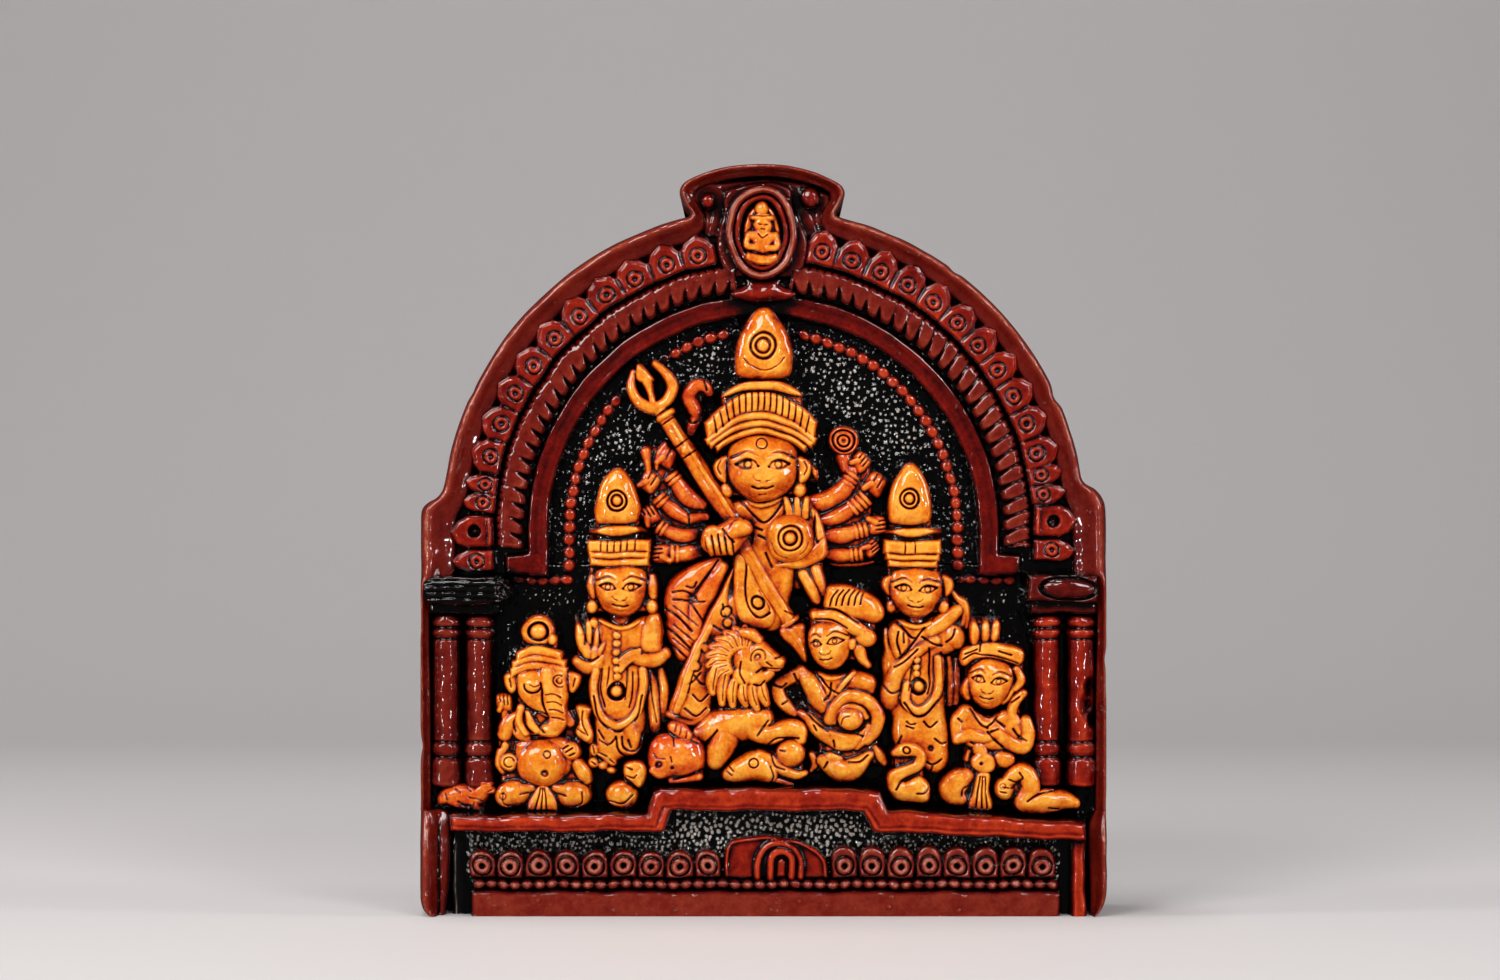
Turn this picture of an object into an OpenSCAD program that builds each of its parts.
// Durga slaying the buffalo demon: a moulded, painted clay relief plaque.
//
// An arched frame with columns stands on a petal-fronted plinth. Inside it, on a
// black stippled ground, the ten-armed goddess rides her lion, with Lakshmi and
// Ganesha on one side and Saraswati and Kartikeya on the other.
// The plaque stands on z = 0 and faces -Y. Heights of the relief are counted
// forward from the middle plane of the plaque (y = 0), so height h is y = -h.
// The outlines of the figures are drawn in the plane of the plaque, (x, z).

/* [Overall size] */
// Full depth, from the flat back to the lip of the ledge (mm)
depth = 21; // [16:0.5:30]
// Full width over the two piers (mm)
width = 110; // [106:0.5:116]
// Relief height of the black ground behind the figures (mm)
ground_h = 0.5; // [-4:0.1:2]

/* [Arch] */
// Height of the arch centre above the table (mm)
arch_z = 61.5; // [60:0.1:63]
// Outer radius of the arch (mm)
arch_r = 51.8; // [50.5:0.1:53]
// Radius where the raised outer rim starts (mm)
rim_in_r = 49; // [48.6:0.1:50]
// Relief height of the outer rim (mm)
rim_h = 7; // [5:0.1:9]
// Radius of the petal tips (mm)
petal_tip_r = 48.3; // [47:0.1:48.6]
// Radius where the petals start (mm)
petal_in_r = 43.4; // [43.2:0.1:45]
// Outer radius of the rope moulding (mm)
rope_out_r = 42.9; // [41:0.1:43]
// Inner radius of the rope moulding (mm)
rope_in_r = 38.6; // [37:0.1:40]
// Inner radius of the smooth band (mm)
band_in_r = 34.6; // [33.5:0.1:36]
// Relief height of the smooth band (mm)
band_h = 4; // [3:0.1:6]
// Radius of the bead cord, centre line (mm)
cord_r = 32; // [31:0.1:33]
// Radius of one bead of the cord (mm)
cord_bead_r = 0.75; // [0.5:0.05:1]

/* [Columns] */
// Radius of a column shaft (mm)
column_r = 2.15; // [1.5:0.05:2.2]
// Radius of the rings on a column (mm)
column_ring_r = 2.45; // [2.2:0.05:2.5]
// Height of the column tops (mm)
column_top_z = 47.9; // [44:0.1:50]
// Height of the column feet (mm)
column_foot_z = 20.4; // [18:0.1:24]

/* [Ledge and plinth] */
// Height of the top of the ledge beside the raised centre (mm)
ledge_z = 16.6; // [15:0.1:18]
// Thickness of the ledge (mm)
ledge_t = 3; // [2:0.1:4]
// How far the right end of the ledge sags below the left (mm)
ledge_fall = 1.5; // [0:0.1:2]
// Height of the raised centre of the ledge (mm)
centre_z = 20.5; // [18:0.1:21]
// Relief height of the black recess over the plinth (mm)
recess_h = 5; // [3:0.1:7]
// Relief height of the plinth panel (mm)
panel_h = 8.2; // [7:0.1:9]
// Relief height of the piers (mm)
pier_h = 9; // [7:0.1:10]
// Height of the plain band at the foot of the plinth (mm)
plain_z = 3.9; // [2:0.1:4.5]
// Spacing of the plinth petals (mm)
plinth_pitch = 4.55; // [4:0.05:5]

/* [Figures] */
// Gap left between neighbouring pieces of the relief (mm)
seam = 0.12; // [0.05:0.01:0.3]
// Relief height of the goddess' head (mm)
head_h = 9.4; // [7:0.1:10]
// Relief height of the goddess' body (mm)
body_h = 6.6; // [5:0.1:8]
// Relief height of the four attendant figures (mm)
side_h = 7.4; // [5:0.1:8.5]
// Relief height of the lion's head (mm)
lion_h = 10; // [8:0.1:10.4]

/* [Hidden] */
back_h = -depth / 2;
front_h = depth / 2;
side_x = width / 2;
course_h = 2.6;      // top of the plate that the rope and the petals sit on
petal_h = 5.4;
boss_h = 6;
rope_h = 5;
crest_h = 3.4;
seat_h = 4.4;        // where the trident and the shield sit on the goddess
web_h = 1.6;
leg_z = 54.4;        // where the straight legs of the arch end

clay = "SaddleBrown";
red = "FireBrick";
dark = "Maroon";
black = "DimGray";
skin = "Orange";
deep = "DarkOrange";

// ---------------------------------------------------------------- helpers

// A slab of relief between two heights, from an outline in (x, z)
module relief(h0, h1)
    translate([0, -h0, 0]) rotate([90, 0, 0]) linear_extrude(height = h1 - h0) children();

// An outline moved outwards, or inwards where d is negative
module grown(d) offset(delta = d) children();

// A carved shape: full outline low down, then two steps in towards the top
module carved(h0, h1, edge) {
    relief(h0, h1 - edge) grown(0.01) children();
    relief(h0, h1 - edge * 0.35) grown(-edge * 0.45) children();
    relief(h0, h1) grown(-edge) children();
}

// A chain of tapered bars with round ends, through points [x, z, radius]
module chain(pts) {
    for (i = [0 : len(pts) - 2]) {
        a = pts[i];
        b = pts[i + 1];
        run = [b[0] - a[0], b[1] - a[1]];
        n = [-run[1], run[0]] / norm(run);
        polygon([[a[0], a[1]] + n * a[2], [b[0], b[1]] + n * b[2],
            [b[0], b[1]] - n * b[2], [a[0], a[1]] - n * a[2]]);
    }
    for (p = pts) translate([p[0], p[1]]) circle(r = p[2], $fn = 14);
}

// A disc of the relief, lying on height h0
module disc(x, z, r, h0, h1)
    translate([x, -h0, z]) rotate([90, 0, 0]) cylinder(h = h1 - h0, r = r, $fn = 32);

// A flat ring of the relief
module ring(x, z, r_out, r_in, h0, h1)
    translate([x, -h0, z]) rotate([90, 0, 0]) difference() {
        cylinder(h = h1 - h0, r = r_out, $fn = 32);
        translate([0, 0, -1]) cylinder(h = h1 - h0 + 2, r = r_in, $fn = 32);
    }

// The two raised rings and the bead that the head-dresses carry
module target(x, z, r, h0) {
    ring(x, z, r, r * 0.72, h0 - 0.5, h0 + 0.35);
    disc(x, z, r * 0.4, h0 - 0.5, h0 + 0.6);
}

// An oval outline
module oval(x, z, a, b)
    translate([x, z]) scale([a, b]) circle(r = 1, $fn = 40);

// A half ring over two straight legs, as every course of the arch is
module arch_band(r_in, r_out, z_low) {
    difference() {
        union() {
            translate([0, arch_z]) circle(r = r_out, $fn = 96);
            translate([-r_out, z_low]) square([2 * r_out, arch_z - z_low]);
        }
        translate([0, arch_z]) circle(r = r_in, $fn = 96);
        translate([-r_in, 0]) square([2 * r_in, arch_z]);
        translate([-r_out - 1, z_low - 2 * r_out]) square([2 * r_out + 2, 2 * r_out]);
    }
}

// ------------------------------------------------------- outlines: frame

module crest_outline()
    polygon([[-11.4, 110], [-11.6, 112], [-13.1, 114], [-13.5, 116], [-12.4, 117.6],
        [-9.4, 119], [-5, 120], [0, 120.3], [5, 119.9], [9, 118.7], [12.2, 117.2],
        [13.1, 115.6], [12.4, 113.8], [11.4, 112], [11.4, 110]]);

module walls_outline()
    polygon([[2 - side_x, 0], [-side_x, 2], [-side_x, 64], [-54.4, 65.5], [-52.6, 66.5],
        [-51.2, 68], [-50, 71], [50, 71], [51.2, 69.2], [53.4, 68], [54.6, 66.6],
        [side_x, 65], [side_x, 2], [side_x - 2, 0]]);

module silhouette() {
    translate([0, arch_z]) circle(r = arch_r, $fn = 120);
    walls_outline();
    crest_outline();
}

module inside_of_rim() {
    translate([0, arch_z]) circle(r = rim_in_r, $fn = 96);
    polygon([[-51.4, 20], [-51.4, 62.5], [-49.4, 65.5], [-48, 68], [48, 68],
        [49.4, 66.5], [51.4, 63.5], [51.4, 56.5], [53.5, 54.2], [53.5, 10], [-53.6, 10],
        [-53.6, 52], [-51.4, 54.2]]);
}

module crest_inside()
    polygon([[-9.6, 104], [-9.2, 112.6], [-10.9, 114.6], [-11, 115.8], [-8.6, 117],
        [-4.5, 117.9], [0, 118.2], [4.5, 117.8], [8, 116.8], [10.6, 115.6], [10.4, 114.4],
        [9, 112.6], [9.2, 104]]);

module cartouche()
    polygon([[-3.6, 101.7], [-6.4, 103.2], [-7.9, 106.5], [-7.4, 110], [-6.6, 112.5],
        [-6.6, 115], [-5.4, 116.6], [0, 117.9], [4.4, 116.8], [4.9, 114], [6.6, 110.5],
        [7.4, 107], [6.4, 103.4], [3.4, 101.7]]);

module bracket_outline()
    polygon([[-3.2, 101.6], [-3.9, 100.6], [-5.6, 100], [-4.4, 98.8], [-1.6, 98],
        [1.8, 98], [4.4, 98.8], [5.6, 99.9], [4, 100.6], [3.1, 101.6]]);

// --------------------------------------------------------- frame modules

module back_slab() color(clay) {
    relief(back_h, ground_h) translate([0, arch_z]) circle(r = arch_r, $fn = 120);
    relief(back_h, ground_h) walls_outline();
    relief(back_h, ground_h) crest_outline();
}

module arch_rim() color(dark) {
    relief(ground_h, rim_h - 1.2) rim_strip(0.01);
    relief(ground_h, rim_h) rim_strip(-0.7);
}

module rim_strip(d) grown(d) difference() {
    silhouette();
    inside_of_rim();
    grown(seam) crest_inside();
    translate([-60, -1]) square([120, ledge_z + 1.2]);
}

module arch_plate() color(red) {
    relief(ground_h, course_h) {
        arch_band(band_in_r, rim_in_r - seam, leg_z);
        for (s = [-1, 1]) translate([s > 0 ? 46 : -51.2, leg_z + 1]) square([5.2, 8]);
    }
    relief(ground_h, band_h) difference() {
        union() {
            arch_band(band_in_r, rope_in_r - seam, leg_z);
            for (s = [-1, 1]) translate([s > 0 ? 36 : -41, leg_z]) square([5, 3.2]);
        }
        grown(seam) bracket_outline();
    }
}

// The rope's own bed runs on under the medallion, so the course stays one piece
module rope_moulding() color(dark) {
    relief(course_h, crest_h - 0.1) arch_band(rope_in_r, rope_out_r, 58.7);
    relief(course_h, rope_h - 1) difference() {
        arch_band(rope_in_r, rope_out_r, 58.7);
        grown(seam) cartouche();
        grown(seam) bracket_outline();
    }
    relief(course_h, rope_h) rope_strands();
}

module rope_strands() {
    strand_w = 1.7;
    for (s = [-1, 1]) {
        for (i = [0 : 21]) translate([0, arch_z]) rotate(s * (14.8 + 3.45 * i))
            translate([-strand_w / 2, rope_in_r + 0.4]) square([strand_w, 3.5]);
        translate([s > 0 ? rope_in_r + 0.4 : -rope_in_r - 3.9, 59]) square([3.5, strand_w]);
    }
}

// One petal of the frame, its foot at the origin and its tip along +z
module petal_outline(w, l)
    polygon([[-w / 2, 0], [-w * 0.52, l * 0.62], [-w * 0.24, l * 0.84], [0, l],
        [w * 0.24, l * 0.84], [w * 0.52, l * 0.62], [w / 2, 0]]);

// A side of the petal course: angles from the crown of the arch, then two large ones
module petal_course(side, first, pitch, count, close) {
    len_p = petal_tip_r - petal_in_r;
    angles = concat([for (i = [0 : count - 1]) first + pitch * i], close);
    relief(course_h, course_h + 0.7) difference() {
        intersection() {
            arch_band(petal_in_r, petal_in_r + len_p * 0.6, 56);
            translate([side > 0 ? 0.01 : -60, 50]) square([60, 70]);
        }
        grown(seam) cartouche();
    }
    relief(course_h, petal_h) difference() {
        petal_heads(side, angles, len_p);
        grown(seam) cartouche();
    }
    for (a = angles) {
        r = petal_in_r + len_p * 0.4;
        disc(side * r * sin(a), arch_z + r * cos(a), 1, course_h, boss_h);
    }
    ring(side * 46.4, 61.4, 1.3, 0.8, petal_h - 0.4, boss_h);
}

module petal_heads(side, angles, len_p) {
    for (a = angles) translate([0, arch_z]) rotate(-side * a)
        translate([0, petal_in_r]) petal_outline(4.3, len_p);
    translate([side * 43.2, 61.3]) rotate(-side * 90) petal_outline(5, 7.4);
    translate([side * 43.2, 57.2]) rotate(-side * 90) petal_outline(2.9, 7.2);
}

module petals_left() color(red) petal_course(-1, 13.3, 6.83, 10, [80.6]);
module petals_right() color(red) petal_course(1, 11.9, 6.22, 11, [79.6]);

module bead_cord() color(deep) relief(ground_h, 2) {
    bead_turn = 2.35;
    arch_band(cord_r - 0.3, cord_r + 0.3, 54);
    for (s = [-1, 1]) {
        for (i = [3 : 38]) translate([0, arch_z]) rotate(-s * bead_turn * i)
            translate([0, cord_r]) circle(r = cord_bead_r, $fn = 16);
        for (i = [0 : 5]) translate([s * cord_r, 61.2 - 1.32 * i])
            circle(r = cord_bead_r, $fn = 16);
        translate([s > 0 ? 32 : -39.4, 53.4]) square([7.4, 0.7]);
        for (i = [0 : 5]) translate([s * (33 + 1.3 * i), 53.7])
            circle(r = cord_bead_r, $fn = 16);
    }
}

module crest_block() color(dark) relief(ground_h, crest_h) difference() {
    crest_inside();
    translate([0, arch_z]) circle(r = rim_in_r, $fn = 96);
}

module scroll(x, z) {
    disc(x, z, 1.5, crest_h, 4.6);
    translate([x, -4.6, z]) sphere(r = 1.42, $fn = 32);
}

module scroll_left() color(red) scroll(-8.9, 114.6);
module scroll_right() color(red) scroll(7.7, 114.9);

module medallion_plate() color(dark) relief(crest_h, 5) grown(-0.15) cartouche();

module medallion_ring(a, b, w, h) relief(5, h) grown(0.01) difference() {
    oval(-0.3, 109.2, a, b);
    oval(-0.3, 109.2, a - w, b - w);
}

module medallion_outer_ring() color(dark) {
    medallion_ring(5.6, 7.5, 0.95, 7);
    medallion_ring(5.35, 7.25, 0.45, 7.4);
}

module medallion_inner_ring() color(red) {
    medallion_ring(4.4, 6.3, 0.95, 6.2);
    medallion_ring(4.15, 6.05, 0.45, 6.6);
}

module medallion_figure() color(deep) carved(5, 7.2, 0.6) {
    chain([[0.1, 107, 2.1], [0.2, 110.2, 2.2], [-0.1, 112.6, 1.3]]);
    chain([[-1.6, 106.2, 0.9], [0.6, 105.9, 1]]);
}

module crest_bracket() color(red) carved(crest_h, 6, 0.9) grown(-0.1) bracket_outline();

module capital(side, z_low, z_mid, z_top) {
    x_in = side * 42.2;
    x_out = side * 53.4;
    relief(ground_h, 6.6) bar_x(x_in, x_out, column_top_z, z_low);
    relief(ground_h, 7.6) bar_x(x_in - side * 0.6, x_out, z_low, z_mid);
    relief(ground_h, 8.2) bar_x(x_in, x_out, z_mid, z_top);
}

// An upright rectangle between two x and two z, whichever way round x runs
module bar_x(x0, x1, z0, z1) translate([min(x0, x1), z0]) square([abs(x1 - x0), z1 - z0]);

module capital_left() color(black) {
    capital(-1, 49.3, 50.4, 53.6);
    disc(-41.4, 51.7, 1.6, ground_h, 5.6);
}

module capital_right() color(dark) {
    capital(1, 49.4, 50.8, 54.3);
    relief(ground_h, 8.7) grown(0.01) oval(48.7, 52.6, 4.6, 1.55);
}

module column(x) {
    shaft_h = 3.6;
    height = column_top_z - column_foot_z;
    relief(ground_h, shaft_h) bar_x(x - 1.9, x + 1.9, column_foot_z, column_top_z);
    translate([x, -shaft_h, column_foot_z]) cylinder(h = height, r = column_r, $fn = 40);
    for (band = [[44.7, 1], [46.2, 0.9], [25.7, 1.9]])
        translate([x, -shaft_h, band[0]]) cylinder(h = band[1], r = column_ring_r, $fn = 40);
    translate([x, -shaft_h, column_foot_z]) cylinder(h = 4.4, r = column_ring_r, $fn = 40);
}

module column_left_outer() color(dark) column(-50.9);
module column_left_inner() color(dark) column(-45.6);
module column_right_inner() color(red) column(45.4);
module column_right_outer() color(red) column(51);

module pier(x_in, x_out) {
    relief(ground_h, pier_h - 0.8) grown(0.01)
        bar_x(x_in, x_out, 0, ledge_z);
    relief(ground_h, pier_h) grown(-0.6) bar_x(x_in, x_out, 0, ledge_z);
}

module pier_left() color(dark) pier(-50, 0.05 - side_x);
module pier_right() color(dark) pier(51.4, side_x - 0.05);

module ledge_outline() {
    low = ledge_z - ledge_t;
    polygon([[-49.8, low], [-49.8, ledge_z - 0.4], [-18.4, ledge_z], [-17.6, centre_z - 0.5],
        [-16.4, centre_z], [17.2, centre_z], [18.8, centre_z - 0.5], [19.7, ledge_z + 0.4],
        [51.2, ledge_z - ledge_fall], [51.2, low - ledge_fall], [17.2, low], [15.6, 17.1],
        [-14.4, 17.1], [-15.8, low]]);
}

// On the right the ledge turns down the edge of the plinth to the table
module ledge() color(red) {
    relief(ground_h, front_h - 0.7) ledge_outline();
    relief(ground_h, front_h) grown(-0.5) ledge_outline();
    relief(ground_h, panel_h) bar_x(49.7, 51.2, 0, ledge_z - ledge_t);
}

module plinth_ground() color(black) relief(ground_h, recess_h) grown(-seam / 2) difference() {
    union() {
        bar_x(-49.8, 49.7, 0, ledge_z - ledge_t + 1);
        bar_x(-15, 16.2, 10, 17.1);
    }
    grown(seam / 2) ledge_outline();
}

module plinth_base() color(dark) {
    relief(recess_h, panel_h) bar_x(-46.6, 47.4, 0, plain_z);
    relief(recess_h, panel_h - 1.4) bar_x(-46.6, 47.4, 0, plain_z + 0.3);
}

module plinth_beads() color(dark) {
    relief(recess_h, panel_h - 1.2) bar_x(-46.6, 47.4, plain_z + 0.4, 5.8);
    relief(recess_h, panel_h - 0.4) for (i = [0 : 47]) translate([-45.6 + 1.95 * i, 5])
        circle(r = 0.85, $fn = 16);
}

module plinth_petal(x) {
    relief(recess_h, panel_h - 0.6) translate([x, 5.9]) {
        bar_x(-2.05, 2.05, 0, 3.2);
        translate([0, 3.2]) circle(r = 2.05, $fn = 24);
    }
    disc(x, 8.2, 1, recess_h, panel_h);
}

// A row of round-topped petals on a low strip
module plinth_row(x0, count) {
    relief(recess_h, recess_h + 1)
        bar_x(x0 - 2, x0 + plinth_pitch * (count - 1) + 2, 5.9, 8.6);
    for (i = [0 : count - 1]) plinth_petal(x0 + plinth_pitch * i);
}

module plinth_petals_left() color(dark) plinth_row(-44.9, 9);
module plinth_petals_right() color(dark) plinth_row(12.7, 8);

module arch_door(x, half_w, z_top) {
    bar_x(x - half_w, x + half_w, 5.9, z_top - half_w * 0.75);
    intersection() {
        translate([x, z_top - half_w]) circle(r = half_w * 1.05, $fn = 32);
        bar_x(x - half_w, x + half_w, 5.9, z_top + 1);
    }
}

module plinth_motif() color(red) {
    relief(recess_h, panel_h - 1.6) polygon([[-6.2, 5.9], [-6.3, 11.4], [-5.2, 12.4],
        [0, 12.9], [5, 12.4], [8.6, 11], [10.2, 9], [10.4, 5.9]]);
    relief(recess_h, panel_h - 0.6) difference() {
        arch_door(2.4, 3.9, 11.9);
        arch_door(2.5, 2.9, 11.4);
    }
    relief(recess_h, panel_h) difference() {
        arch_door(2.7, 2.1, 10.9);
        arch_door(2.7, 1.2, 10);
    }
}

// ----------------------------------------------------- outlines: goddess

module spire_outline(x, z, w, l)
    translate([x, z]) polygon([[0, l], [-w * 0.2, l * 0.95], [-w * 0.38, l * 0.75],
        [-w * 0.49, l * 0.45], [-w * 0.5, l * 0.2], [-w * 0.38, 0], [w * 0.38, 0],
        [w * 0.5, l * 0.2], [w * 0.48, l * 0.45], [w * 0.36, l * 0.75], [w * 0.18, l * 0.95]]);

module crown_fan() {
    polygon([[-9.9, 77.3], [-8.2, 79.9], [-5.2, 82.4], [-2, 83.7], [0.6, 83.8], [4, 82.6],
        [6.6, 81], [8.3, 79.2], [7.7, 77.5], [7.6, 75.4], [6.6, 74.4], [4.5, 75.9],
        [2, 76.8], [-0.5, 77], [-3, 76.4], [-5.3, 75.3], [-6.9, 74.2], [-8.6, 75.6]]);
    polygon([[-6.6, 83], [-5.8, 84], [-3, 85.1], [0, 85.5], [3, 85.1], [5, 84.2],
        [6.1, 83], [3.4, 82.6], [-3.8, 82.8]]);
}

module head_outline() {
    chain([[-0.1, 72.4, 5.5], [0, 69.6, 3.3]]);
    chain([[-5.2, 71, 1], [-7, 71.6, 1.1], [-6, 69, 1.1]]);
    chain([[5.2, 71, 1], [6.9, 71.6, 1.1], [5.9, 68.6, 1.1]]);
}

module torso_outline()
    polygon([[-3.7, 66.2], [3.6, 66.6], [7.2, 65.6], [9.9, 60.4], [9.2, 57.6], [5.4, 55.6],
        [4.2, 51.5], [3.2, 46.2], [-1, 44], [-6, 36], [-8.6, 32.6], [-10.2, 30.8],
        [-13, 31.2], [-15, 32.4], [-13.8, 36], [-11.8, 41], [-9.6, 46], [-6.2, 52],
        [-5, 57.6], [-6, 60], [-5, 64.2]]);

module leg_outline()
    polygon([[-6, 57.2], [-8.6, 57.6], [-11, 55.8], [-14.5, 53.6], [-16, 50.8],
        [-15.6, 47.6], [-15.4, 44.5], [-14.2, 41.6], [-12.2, 40.3], [-10.8, 43.2],
        [-9.8, 46.6], [-7.4, 51.6], [-5.8, 55.6]]);

module shaft_outline() chain([[-16.2, 80.2, 1.3], [-5, 63.4, 1.5], [3.6, 47.6, 1.3]]);

module trident_outline() {
    shaft_outline();
    chain([[-21.4, 87, 0.6], [-21.3, 84.5, 0.8], [-20, 82.2, 0.8], [-17.4, 81.2, 0.9],
        [-15.3, 82.4, 0.8], [-14.5, 84.8, 0.8], [-15.4, 86.6, 0.8], [-17.4, 88.2, 0.5]]);
    chain([[-19.4, 87.4, 0.7], [-18.6, 85.8, 0.9], [-17.6, 83, 0.7], [-17.3, 81.4, 0.8]]);
    polygon([[2.5, 46.4], [6.6, 47.4], [7.2, 45.5], [7.1, 41], [6.2, 40.6], [4.2, 43],
        [2.7, 44.8]]);
}

module hand_outline() chain([[-3, 62.4, 1.7], [-5.4, 61.2, 2.4], [-7.6, 60, 2.3]]);

module shield_outline() translate([4.3, 60.2]) circle(r = 3.95, $fn = 40);

module arms_left_outline() {
    chain([[-15.9, 73.6, 1.6], [-15.4, 71, 1.5], [-13.6, 68.4, 1.6], [-10, 65.9, 1.2]]);
    chain([[-18.6, 74.6, 0.8], [-18.5, 71.4, 0.7]]);
    chain([[-18.5, 69.2, 1.6], [-16.6, 66.6, 1.3], [-13, 64.2, 1.2], [-9.6, 63.6, 1]]);
    chain([[-18.3, 64, 1.6], [-16.6, 61.9, 1.3], [-13.4, 60.8, 1.2], [-10.6, 61.2, 1.1]]);
    chain([[-16.4, 58, 1.7], [-14, 57.9, 1.4], [-11.2, 58, 1.3]]);
}

module arms_right_outline() {
    chain([[15.4, 72.4, 1.6], [14.4, 69.6, 1.4], [12, 67, 1.6], [8.6, 65.8, 1.4]]);
    chain([[18, 69, 1.8], [15.8, 66, 1.4], [12.6, 64.2, 1.3], [9.8, 63.2, 1.1]]);
    chain([[18.3, 62.4, 1.7], [15.6, 61.4, 1.4], [12.6, 60.7, 1.3], [10.8, 60.6, 1.1]]);
    chain([[17.6, 58.4, 1.4], [15, 57.6, 1.2], [11.2, 57.7, 1.2]]);
}

module web_left() polygon([[-10.4, 58], [-14, 57.4], [-17, 62], [-17.4, 68], [-14, 69],
    [-10, 66.4]]);

module web_right() polygon([[10.6, 57.4], [14, 57], [16, 61], [16.4, 67], [13, 68.6],
    [9.6, 65.6], [10.4, 61]]);

module serpent_outline() chain([[-8.7, 83.9, 0.8], [-10.2, 84.6, 1.1], [-11.8, 83.7, 1.4],
    [-11.5, 82, 1.2], [-10.7, 80, 1.1], [-11.5, 78.2, 1.2], [-11.4, 77.2, 0.9]]);

module lion_outline() {
    chain([[-4.6, 39.8, 5], [-4, 36.4, 2.8]]);
    chain([[-3.2, 42.6, 2.8], [-0.6, 41.6, 2.5], [1.5, 39.6, 1.7]]);
    chain([[-1.4, 45, 1.2], [-3, 44, 1.4]]);
    chain([[-8.6, 28.8, 2.6], [-6, 29.4, 4.2], [-2.4, 31.2, 3.2], [-0.4, 31.6, 2.4]]);
    chain([[-1, 29.2, 2], [2, 29.4, 1.6], [4.8, 29.3, 1.7], [5.6, 28.9, 1.3]]);
    chain([[-6.8, 27.6, 3.2], [-7.7, 25.2, 1.6]]);
}

module buffalo_head_outline() {
    chain([[-15, 25.4, 4], [-13.2, 25.6, 3.9]]);
    chain([[-13.4, 29.4, 1.4], [-12.6, 28.4, 1.4]]);
}

module buffalo_outline() {
    chain([[-4.4, 22.7, 1.9], [-1, 23.6, 2.6], [1, 23.4, 2.2], [3.6, 22.4, 0.9],
        [6, 22.4, 0.7]]);
    translate([4.2, 25.9]) circle(r = 2.3, $fn = 24);
    chain([[1.2, 25.2, 0.9], [3, 24, 0.9]]);
}

module demon_head_outline() {
    chain([[10.8, 44.8, 3.3], [10.6, 42.4, 3]]);
    chain([[8.7, 47.6, 1.2], [12.4, 47, 1.5], [16.2, 44.4, 1.9]]);
    polygon([[10, 48.4], [10.2, 52.8], [13.2, 53], [16.6, 51.7], [18.9, 50.2], [19.4, 48.2],
        [18.2, 46.9], [15.4, 46.6]]);
    chain([[15.4, 42.6, 0.9], [16.6, 40.4, 0.6]]);
}

module demon_body_outline() {
    chain([[7, 38, 1.5], [8.8, 35.6, 1.7], [9.4, 33.6, 1.5]]);
    chain([[5.4, 38, 1.1], [2.4, 36.4, 1.1], [3.2, 33.8, 1.1], [4.8, 32.4, 0.9]]);
    chain([[6.1, 38.8, 0.7], [5.2, 38, 1]]);
    chain([[10.6, 36.4, 2.4], [13, 36.4, 2.6], [16, 36.8, 2]]);
    chain([[14.2, 31.2, 4.2], [14.6, 30, 4]]);
    chain([[7, 32, 1], [8.4, 30.4, 1.3], [11.4, 28.6, 2], [14.6, 28, 1.8]]);
    chain([[11.2, 23.8, 2], [12.6, 22.9, 2.3], [15.6, 24.6, 1.4], [14.4, 27, 1.2]]);
    chain([[17.6, 26.2, 0.7], [19, 24.4, 0.7]]);
    chain([[17, 27, 0.9], [15, 27.6, 1.2]]);
}

// ---------------------------------------------------- outlines: attendants

module lakshmi_head_outline() {
    spire_outline(-23.4, 62.4, 7.2, 9);
    oval(-23.3, 61.5, 3.3, 1.1);
    chain([[-23.3, 59.4, 1.6], [-23.3, 63, 1.6]]);
    polygon([[-28, 55.6], [-27.8, 60], [-18.2, 60], [-18.2, 55.6], [-23, 54.5]]);
    chain([[-22.9, 52.6, 4.2], [-22.8, 51, 3]]);
    chain([[-27.6, 53, 0.9], [-27.4, 49.4, 0.9]]);
    chain([[-18, 53, 0.9], [-18.3, 49.3, 0.9]]);
}

module lakshmi_body_outline() {
    polygon([[-25, 47.8], [-20, 47.6], [-16.6, 48], [-15.7, 43], [-16.2, 39.6],
        [-19.2, 38.4], [-19, 33], [-18.9, 28.6], [-20, 25.4], [-22.4, 25], [-25, 22.6],
        [-27, 23.4], [-27.4, 27], [-26.8, 31], [-27.4, 38], [-30.2, 38.8], [-30.9, 42],
        [-29.8, 46], [-27.4, 47.6]]);
    chain([[-18.6, 38, 0.8], [-17, 30, 0.9]]);
    chain([[-16.4, 39, 0.6], [-15.8, 32, 0.5]]);
    chain([[-18.4, 34, 0.9], [-16.6, 34, 0.6]]);
}

module owl_outline() {
    chain([[-22.9, 19.3, 2.6], [-21.8, 19.2, 2.5]]);
    chain([[-20.6, 21.6, 1], [-20.3, 22.9, 1.7]]);
}

module saraswati_head_outline() {
    spire_outline(23.4, 62.5, 6.9, 9.7);
    oval(23.6, 61.5, 3.3, 1.1);
    chain([[23.6, 59.4, 1.6], [23.6, 63, 1.6]]);
    polygon([[19, 59.4], [20.3, 55.4], [24, 54.5], [28, 55.6], [28.4, 58.4], [27.6, 60],
        [20.4, 60]]);
    chain([[24.2, 52.4, 4.2], [24.3, 51, 3]]);
    chain([[19.8, 53.2, 0.9], [20.8, 49, 0.8]]);
    chain([[29, 53.2, 0.9], [28.8, 50.2, 0.8]]);
}

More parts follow.
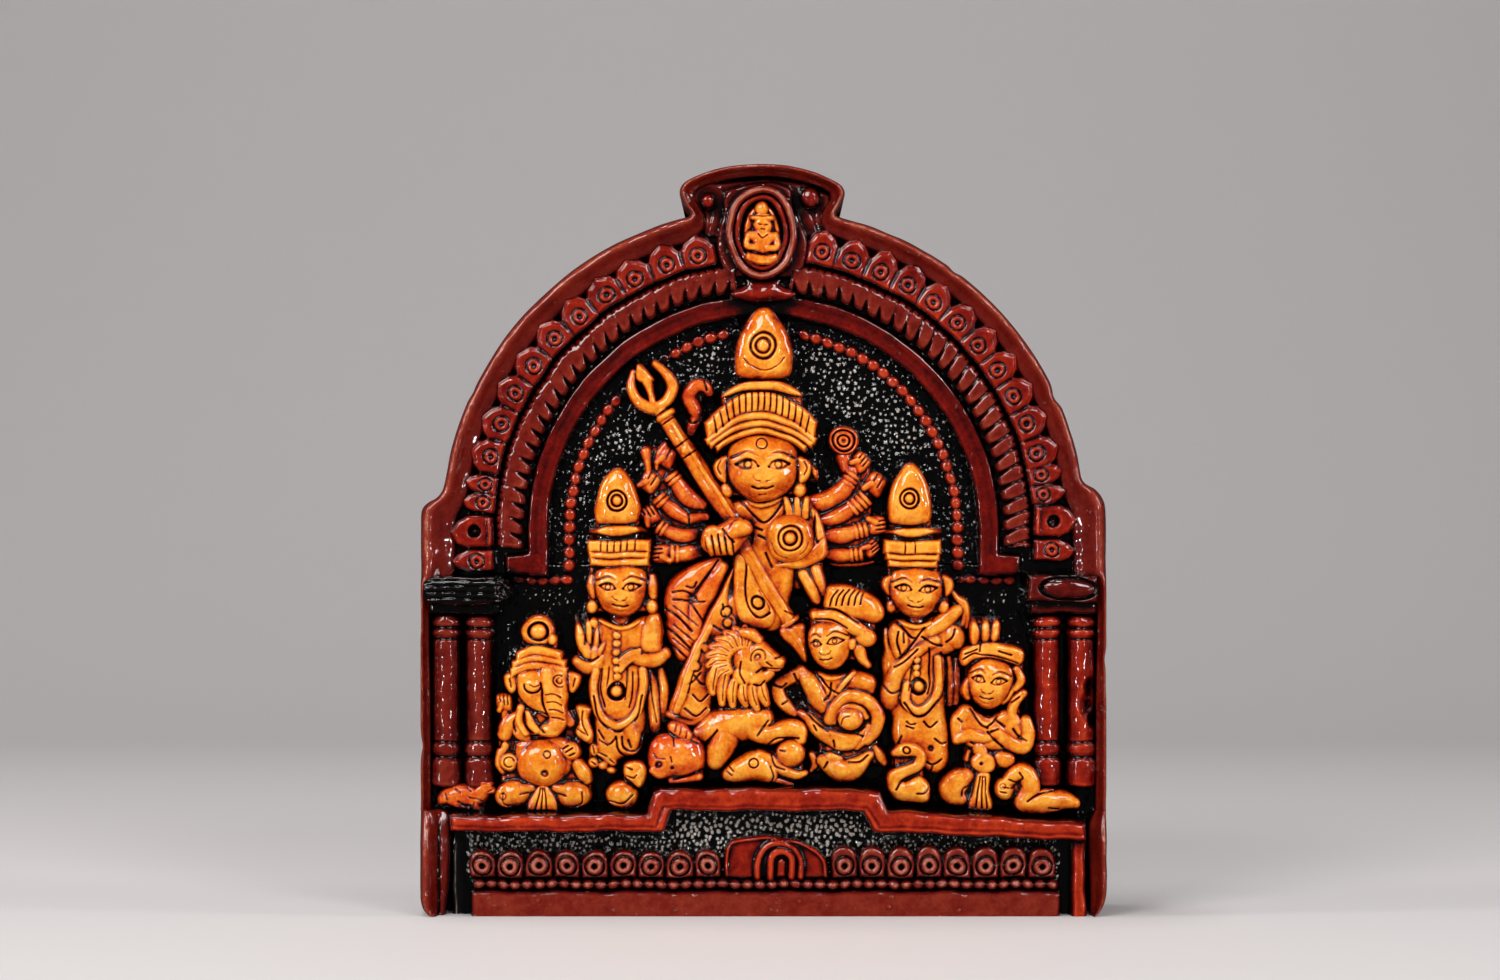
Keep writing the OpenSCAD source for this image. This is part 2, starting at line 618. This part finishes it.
module saraswati_body_outline() {
    polygon([[21.2, 47.2], [26, 47.4], [30.4, 49.2], [31.4, 46.6], [32.2, 43.8],
        [30.6, 42], [28.6, 42.6], [29, 36], [29.6, 30], [29.8, 24.6], [28.4, 22.8],
        [26, 23.4], [24.6, 27.6], [21, 26.4], [20.6, 30], [21, 32.4], [19.4, 32.4],
        [18.4, 34.6], [19, 37.6], [18.9, 40.4], [20, 41], [19.6, 44]]);
    chain([[29.4, 40.4, 0.7], [30.2, 34.6, 0.7], [29, 33, 0.6]]);
    chain([[30.2, 50.6, 0.6], [31.8, 49.8, 0.8], [32.4, 47.2, 0.7], [31.4, 46, 0.9]]);
}

module swan_outline() {
    chain([[22, 26.2, 0.9], [23.4, 26.6, 1], [24.9, 25.2, 0.9], [23.4, 23.8, 0.9],
        [21, 22, 1], [21.2, 20.4, 1.3]]);
    chain([[21.8, 20.4, 1.8], [24.2, 20, 2.3], [25.8, 19.4, 1.5]]);
}

module ganesha_head_outline() {
    translate([-36, 45.4]) circle(r = 2.6, $fn = 32);
    chain([[-36, 43.4, 1.8], [-36, 41.6, 1.6]]);
    polygon([[-40.6, 40.4], [-39.6, 42], [-36.4, 43], [-33, 42.4], [-31.4, 41], [-31.2, 39.2],
        [-35.6, 38.4], [-40, 39]]);
    chain([[-36.6, 36.8, 2.9], [-34, 36.6, 2.9]]);
    chain([[-33.6, 35, 2.4], [-33, 32.6, 1.9], [-34.2, 30.9, 1.5]]);
    chain([[-40.6, 38, 1.2], [-39.4, 37, 1.2]]);
    chain([[-30.4, 37.6, 0.9], [-31.2, 37, 1]]);
}

module ganesha_body_outline() {
    chain([[-35.2, 25.2, 3.9], [-35.6, 24, 3.6]]);
    chain([[-39.4, 31, 1.5], [-41.2, 29.8, 1.4], [-41.4, 28.4, 1.1]]);
    chain([[-41.4, 34, 1.4], [-41, 31, 1], [-38.6, 29.6, 1.6], [-37.6, 27.4, 1.6]]);
    chain([[-40.9, 24.6, 1.5], [-39, 24.6, 1.1]]);
    chain([[-29.2, 32.6, 1.2], [-29, 30, 1.6], [-30.4, 27.6, 1.4], [-32.8, 27.4, 1.4]]);
    chain([[-31, 26, 1.6], [-32.4, 25.4, 1.4]]);
    chain([[-31, 25.4, 1.2], [-28.8, 22.8, 1.2]]);
    chain([[-40.6, 19.2, 2], [-38.6, 19, 1.8], [-36, 20.4, 1]]);
    chain([[-34.4, 20.4, 1], [-31.6, 19.1, 2], [-29.2, 19, 1.9]]);
    polygon([[-36.4, 21], [-38, 16.7], [-33, 16.7], [-34, 21]]);
}

module mouse_outline() chain([[-44.2, 18.3, 1.5], [-46.6, 18.6, 1.8], [-48.6, 18.2, 1.3],
    [-50.6, 17.8, 0.7]]);

module kartikeya_head_outline() {
    polygon([[33, 43], [32.8, 46], [34, 46.9], [37.4, 46.6], [37.6, 45.4], [36, 43]]);
    chain([[33, 41.4, 1.4], [36, 42.4, 1.5], [40, 41.4, 1.2]]);
    chain([[36.2, 38.2, 3.5], [36.2, 36, 2.4]]);
    chain([[33, 37.4, 0.9], [32.6, 35.4, 0.8]]);
    chain([[39.6, 39, 0.9], [40.7, 37, 0.9]]);
}

module kartikeya_body_outline() {
    polygon([[33.4, 33.4], [31, 31.8], [30.2, 29], [31.4, 27.2], [33.4, 26.8],
        [33.2, 24.4], [37.2, 24.4], [38.6, 24.2], [40.2, 25.6], [42.6, 26.2], [43, 29],
        [41.8, 32], [41.8, 35.2], [40.6, 35.4], [39.6, 33], [38, 32.6], [36, 31.9]]);
    chain([[35.2, 24.4, 1.8], [35, 21.6, 1.2], [34.4, 18.4, 1.7]]);
    chain([[32, 22, 1.6], [30.6, 20.6, 2.2], [30.8, 19.4, 2.1], [33, 19, 1]]);
}

module peacock_outline() {
    chain([[38.8, 20.2, 1.5], [41.6, 22.2, 1.7], [42.6, 20, 1.8], [43.4, 18.8, 2.1],
        [46, 18.2, 1.7], [48.6, 18, 1.2]]);
}

// ------------------------------------------------------- goddess modules

module durga_body() color(skin) {
    relief(ground_h, seat_h) grown(0.01) body_free();
    relief(ground_h, body_h - 0.8) grown(0.01) body_front();
    relief(ground_h, body_h) grown(-0.7) body_front();
}

module body_free() difference() {
    torso_outline();
    grown(seam) lion_outline();
    grown(seam) head_outline();
    grown(seam) leg_outline();
}

module body_front() difference() {
    body_free();
    grown(seam) trident_outline();
    grown(seam) shield_outline();
    grown(seam) hand_outline();
}

module durga_leg() color(deep) carved(ground_h, 6.4, 1) difference() {
    leg_outline();
    grown(seam) hand_outline();
    grown(seam) trident_outline();
}

module durga_head() color(skin) {
    carved(ground_h, head_h - 1.6, 1) grown(-seam) head_outline();
    disc(0, 72.2, 4.4, ground_h, head_h - 1.1);
    disc(0, 72, 3.4, ground_h, head_h - 0.4);
    disc(0, 71.4, 2, ground_h, head_h);
}

module durga_crown() color(skin) carved(ground_h, 8.8, 1) difference() {
    crown_fan();
    grown(seam) head_outline();
    grown(seam) serpent_outline();
}

module durga_spire() color(deep) {
    carved(ground_h, 8, 1.3) spire_outline(0, 85.8, 9.4, 11.2);
    target(0.1, 91, 2.1, 8);
}

module arms(side) {
    carved(ground_h, 5.4, 0.7) difference() {
        children();
        grown(seam) torso_outline();
        grown(seam) leg_outline();
        grown(seam) trident_outline();
        grown(seam) head_outline();
        grown(seam) hand_outline();
        grown(seam) shield_outline();
    }
}

module durga_arms_left() color(deep) {
    arms() arms_left_outline();
    relief(ground_h, web_h) grown(0.01) difference() {
        web_left();
        grown(seam) torso_outline();
        grown(seam) trident_outline();
        grown(seam) hand_outline();
    }
    relief(ground_h, web_h) translate([-18.9, 69]) square([0.8, 4]);
}

module durga_arms_right() color(deep) {
    arms() difference() {
        arms_right_outline();
        grown(seam) translate([12.9, 75.9]) circle(r = 2.5, $fn = 32);
    }
    relief(ground_h, web_h) grown(0.01) difference() {
        web_right();
        grown(seam) torso_outline();
        grown(seam) saraswati_head_outline();
    }
}

module durga_hand() color(skin) {
    relief(ground_h, 7) grown(0.01) difference() {
        hand_outline();
        grown(seam) torso_outline();
        grown(seam) trident_outline();
        grown(seam) leg_outline();
    }
    relief(7, 8.6) grown(0.01) hand_outline();
    relief(7, 9.3) grown(-0.7) hand_outline();
}

module trident() color(skin) {
    relief(ground_h, 6) grown(0.01) trident_off_body();
    relief(seat_h, 6) grown(0.01) trident_on_body();
    relief(seat_h, 6.9) grown(-0.5) trident_on_body();
}

module trident_off_body() difference() {
    trident_on_body();
    grown(seam) body_free();
}

module trident_on_body() difference() {
    trident_outline();
    grown(seam) shield_outline();
    grown(seam) demon_head_outline();
    grown(seam) lion_outline();
}

module shield() color(skin) {
    disc(4.3, 60.2, 3.95, seat_h, 7.6);
    ring(4.3, 60.2, 3.4, 2.7, 7, 8.2);
    ring(4.3, 60.2, 2, 1.4, 7, 8.7);
    translate([4.3, -7.9, 60.2]) sphere(r = 0.95, $fn = 32);
}

module conch() color(deep) {
    disc(12.9, 75.9, 2.45, ground_h, 4.4);
    ring(12.9, 75.9, 2.1, 1.4, 4, 5.4);
    disc(12.9, 75.9, 0.8, 4, 5.6);
}

module serpent() color(deep) carved(ground_h, 5, 0.7) difference() {
    serpent_outline();
    grown(seam) trident_outline();
}

module lion() color(skin) {
    carved(ground_h, 8.4, 1.2) lion_outline();
    carved(ground_h, lion_h - 0.6, 1) {
        chain([[-4.4, 40, 4], [-3.8, 37.2, 2]]);
        chain([[-2.6, 41.6, 2.6], [0.9, 39.7, 1.7]]);
    }
    carved(ground_h, lion_h, 0.8) chain([[-1.8, 41.2, 1.8], [0.7, 39.9, 1.3]]);
}

module buffalo_head() color(deep) {
    carved(ground_h, 8.6, 1.2) difference() {
        buffalo_head_outline();
        grown(seam) lion_outline();
        grown(seam) torso_outline();
    }
    disc(-15.2, 25, 2.4, ground_h, 9.1);
}

module buffalo() color(skin) carved(ground_h, 8.6, 1) difference() {
    buffalo_outline();
    grown(seam) lion_outline();
}

module demon_head() color(skin) {
    carved(ground_h, 8.4, 1) demon_head_outline();
    disc(10.8, 43.8, 2.5, ground_h, 9.3);
}

module demon_body() color(skin) {
    carved(ground_h, 7.2, 0.9) difference() {
        demon_body_outline();
        grown(seam) demon_head_outline();
        grown(seam) lion_outline();
        grown(seam) buffalo_outline();
        grown(seam) trident_outline();
    }
    ring(14.4, 31, 3.7, 2.6, ground_h, 8.2);
}

// ---------------------------------------------------- attendant modules

module attendant_body(h) carved(ground_h, h, 1) difference() {
    children(0);
    grown(seam) children(1);
    grown(seam) children(2);
}

module lakshmi_head() color(skin) {
    carved(ground_h, side_h, 0.9) lakshmi_head_outline();
    disc(-22.8, 52, 2.9, ground_h, side_h + 0.9);
    target(-23.4, 66.2, 2, side_h);
}

module lakshmi_body() color(skin) {
    attendant_body(side_h - 0.9) {
        lakshmi_body_outline();
        lakshmi_head_outline();
        owl_outline();
    }
    ring(-23.5, 35.6, 1.5, 0.8, ground_h, side_h - 0.2);
}

module owl() color(skin) carved(ground_h, 7.6, 0.9) owl_outline();

module saraswati_head() color(skin) {
    carved(ground_h, side_h, 0.9) saraswati_head_outline();
    disc(24.4, 51.8, 2.9, ground_h, side_h + 0.9);
    target(23.4, 66.6, 2, side_h);
}

module saraswati_body() color(skin) {
    attendant_body(side_h - 0.9) {
        saraswati_body_outline();
        saraswati_head_outline();
        swan_outline();
    }
    ring(24.7, 36.5, 1.5, 0.8, ground_h, side_h - 0.2);
}

module swan() color(skin) carved(ground_h, 7.8, 0.8) swan_outline();

module ganesha_head() color(skin) {
    carved(ground_h, side_h, 0.9) ganesha_head_outline();
    ring(-36, 45.4, 2.2, 1.5, ground_h, side_h + 0.3);
    carved(ground_h, side_h + 1, 0.7) {
        chain([[-35.6, 36.8, 2.4], [-34, 36, 2]]);
        chain([[-33.8, 35, 1.6], [-33.2, 32.6, 1.4], [-34.2, 31.2, 1.1]]);
    }
}

module ganesha_body() color(skin) {
    attendant_body(side_h - 0.6) {
        ganesha_body_outline();
        ganesha_head_outline();
        mouse_outline();
    }
    disc(-35.2, 24.6, 3, ground_h, side_h + 0.7);
}

module mouse() color(red) carved(ground_h, 6.2, 0.7) mouse_outline();

module kartikeya_head() color(skin) {
    carved(ground_h, side_h - 0.4, 0.9) kartikeya_head_outline();
    disc(36.4, 37.4, 2.5, ground_h, side_h + 0.5);
}

module kartikeya_body() color(skin) attendant_body(side_h - 0.6) {
    kartikeya_body_outline();
    kartikeya_head_outline();
    peacock_outline();
}

module peacock() color(skin) carved(ground_h, 8, 0.9) peacock_outline();

// ------------------------------------------------------------- assembly

back_slab();
arch_rim();
arch_plate();
rope_moulding();
petals_left();
petals_right();
bead_cord();
crest_block();
scroll_left();
scroll_right();
medallion_plate();
medallion_outer_ring();
medallion_inner_ring();
medallion_figure();
crest_bracket();
capital_left();
capital_right();
column_left_outer();
column_left_inner();
column_right_inner();
column_right_outer();
pier_left();
pier_right();
ledge();
plinth_ground();
plinth_base();
plinth_beads();
plinth_petals_left();
plinth_petals_right();
plinth_motif();
durga_body();
durga_leg();
durga_head();
durga_crown();
durga_spire();
durga_arms_left();
durga_arms_right();
durga_hand();
trident();
shield();
conch();
serpent();
lion();
buffalo_head();
buffalo();
demon_head();
demon_body();
lakshmi_body();
lakshmi_head();
owl();
saraswati_body();
saraswati_head();
swan();
ganesha_body();
ganesha_head();
mouse();
kartikeya_body();
kartikeya_head();
peacock();
